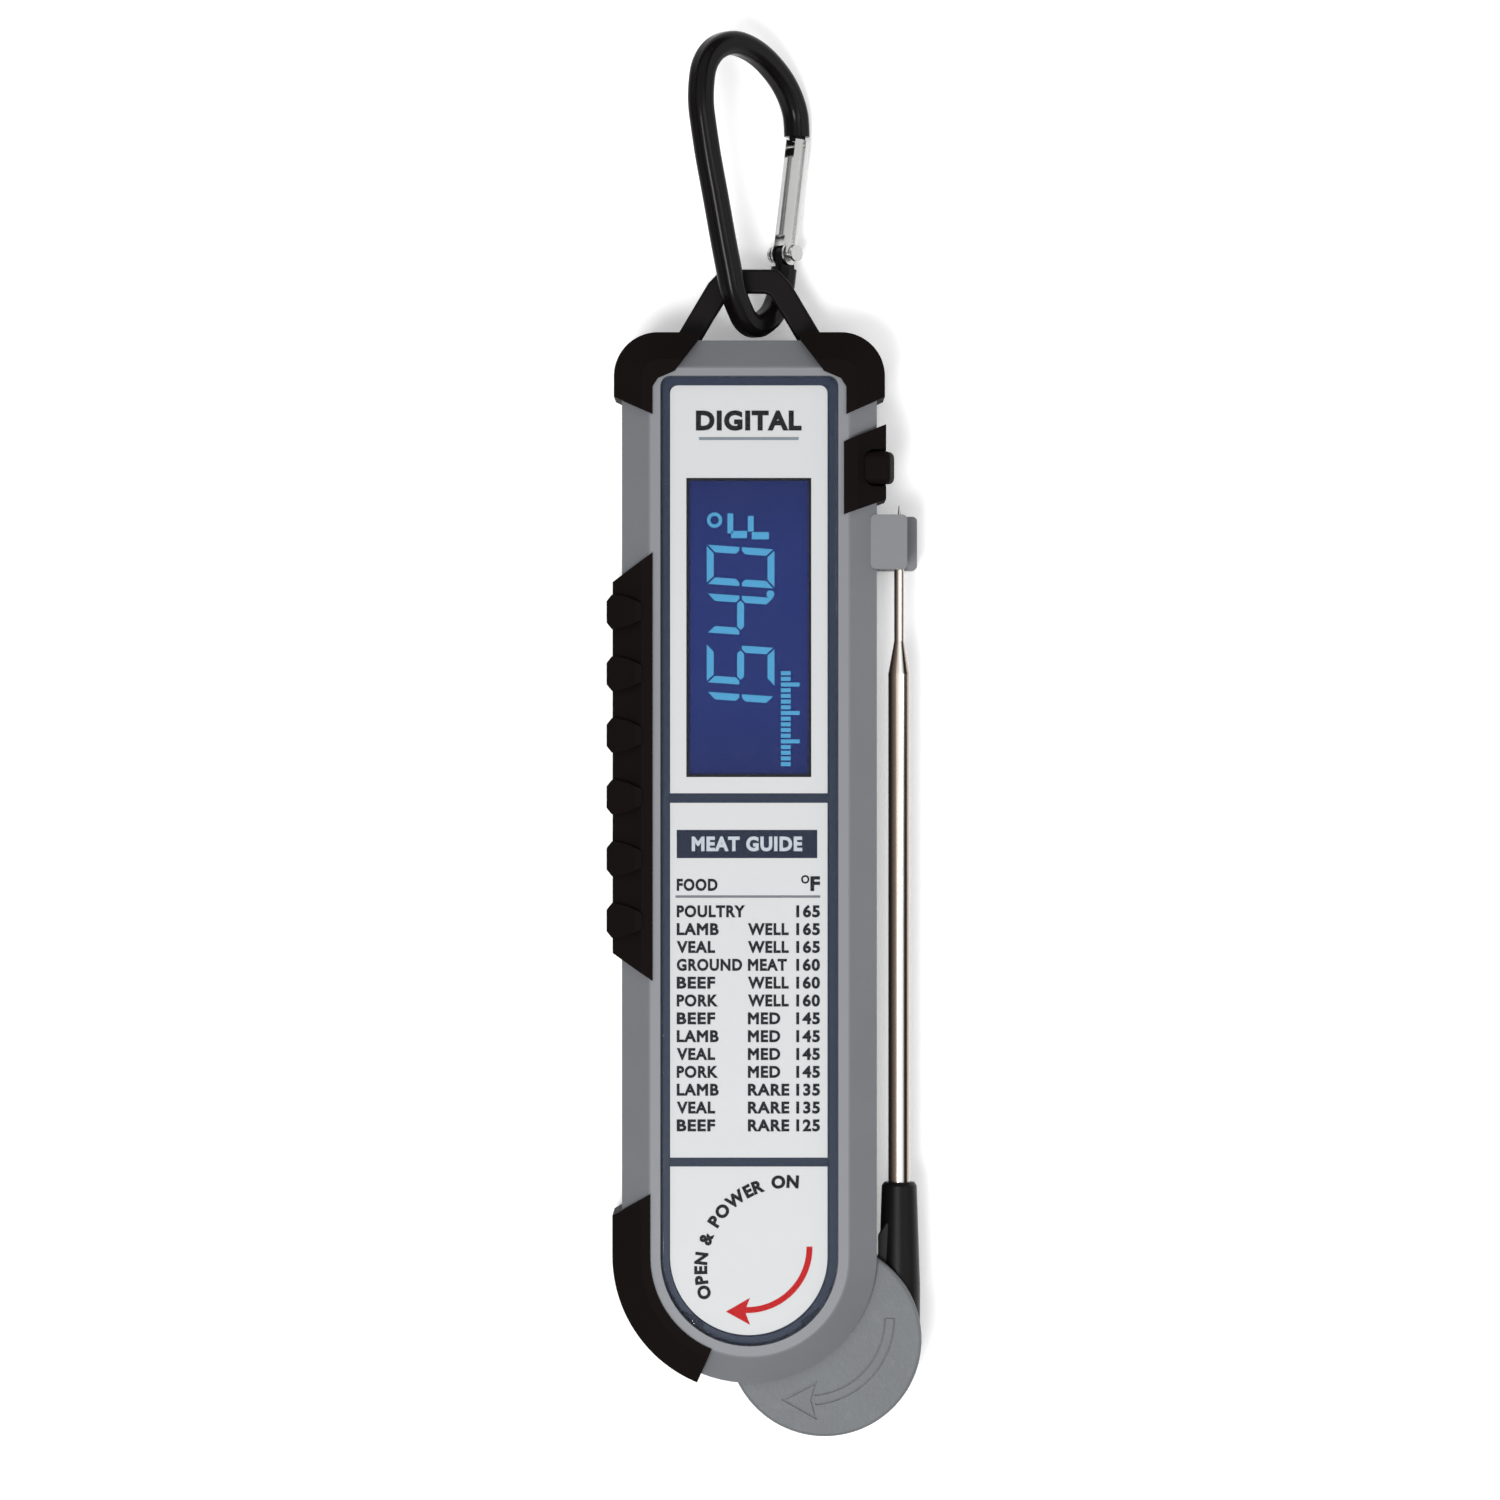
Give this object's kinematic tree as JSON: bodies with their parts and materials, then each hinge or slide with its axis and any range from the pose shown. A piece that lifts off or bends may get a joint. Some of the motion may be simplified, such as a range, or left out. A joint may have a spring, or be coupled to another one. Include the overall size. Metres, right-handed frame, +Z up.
{
  "type": "folding digital meat thermometer",
  "caption": "Folding digital food thermometer with a display face, a stainless probe on a pivoting hub, rubber grips, a hanging loop and a spring-gate carabiner.",
  "frame": {"origin": "centre of the case's flat back face, which lies on the surface", "axes": "+X across the case to the folded probe, +Y along the case to the carabiner, +Z up out of the display face"},
  "size_m": [0.0526, 0.235, 0.0219],
  "materials": {
    "case_plastic": "fine-textured grey moulding",
    "rubber_black": "matt overmoulded rubber",
    "loop_nylon": "satin nylon",
    "hub_plastic": "fine-textured grey moulding",
    "catch_plastic": "fine-textured grey moulding",
    "sleeve_plastic": "satin black moulding",
    "lens_clear": "clear polished window",
    "lens_ink": "slate ink",
    "label_white": "printed label",
    "backing_navy": "dark printed film",
    "display": "blue display",
    "backlight_film": "light guide",
    "frame_black": "black moulding",
    "zebra": "striped elastomer",
    "board_green": "solder mask",
    "chip_black": "moulded package",
    "tin_plate": "tinned",
    "led_white": "clear lens",
    "screw_steel": "zinc plated",
    "cell_steel": "nickel plated can",
    "contact_metal": "sprung contact",
    "probe_steel": "polished stainless",
    "wire_red": "insulation",
    "magnet": "nickel plated",
    "clip_black": "black anodised",
    "gate_silver": "polished",
    "spring_steel": "drawn wire"
  },
  "bodies": {
    "case": {"front_shell": "case_plastic", "rear_shell": "case_plastic", "shell_gasket": "rubber_black", "top_bumper_left": "rubber_black", "top_bumper_right": "rubber_black", "side_grip": "rubber_black", "bottom_bumper": "rubber_black", "button_pad": "rubber_black", "hang_loop": "loop_nylon", "tip_catch": "catch_plastic", "face_lens": "lens_clear", "lens_border": "lens_ink", "label_top": "label_white", "label_chart": "label_white", "label_bottom": "label_white", "label_backing": "backing_navy", "lcd_glass": "display", "backlight": "backlight_film", "lcd_frame": "frame_black", "zebra_strip": "zebra", "main_board": "board_green", "controller_chip": "chip_black", "signal_chip": "chip_black", "crystal_can": "tin_plate", "backlight_leds": "led_white", "board_screws": "screw_steel", "shell_screws": "screw_steel", "coin_cells": "cell_steel", "cell_holder": "frame_black", "contact_positive": "contact_metal", "contact_negative": "contact_metal", "reed_switch": "tin_plate", "board_leads": "wire_red", "tact_switch": "chip_black", "switch_board": "board_green", "pivot_pin": "probe_steel", "pivot_washer": "spring_steel"},
    "probe": {"hub_front": "hub_plastic", "hub_rear": "hub_plastic", "hub_screws": "screw_steel", "hub_magnet": "magnet", "probe_sleeve": "sleeve_plastic", "probe_tube": "probe_steel", "probe_leads": "wire_red", "sensor_bead": "chip_black"},
    "button": {"side_button": "rubber_black"},
    "cap": {"battery_cap": "case_plastic", "cap_seal": "rubber_black"},
    "carabiner": {"carabiner_body": "clip_black", "gate_rivet": "gate_silver"},
    "gate": {"carabiner_gate": "gate_silver", "gate_pin": "spring_steel", "gate_spring": "spring_steel"}
  },
  "joints": [
    {"name": "probe_fold", "type": "hinge", "parent": "case", "child": "probe", "pos_m": [0.01258, -0.0799, 0.0105], "axis": [0, 0, -1], "range_deg": [0, 180]},
    {"name": "button_press", "type": "slide", "parent": "case", "child": "button", "axis": [-0.9781, 0, -0.2079], "range_m": [0, 0.0008], "stiffness_N_per_m": 600, "springref_m": -0.0004},
    {"name": "battery_cap_turn", "type": "hinge", "parent": "case", "child": "cap", "pos_m": [0, -0.028, 0], "axis": [0, 0, -1], "range_deg": [0, 60]},
    {"name": "carabiner_swing", "type": "hinge", "parent": "case", "child": "carabiner", "pos_m": [0, 0.09727, 0.0099], "axis": [1, 0, 0], "range_deg": [0, 25]},
    {"name": "gate_open", "type": "hinge", "parent": "carabiner", "child": "gate", "pos_m": [0.00598, 0.1024, 0.00469], "axis": [0.7314, 0, 0.682], "range_deg": [0, 25], "stiffness_Nm_per_rad": 0.02, "springref_deg": -20.05}
  ]
}
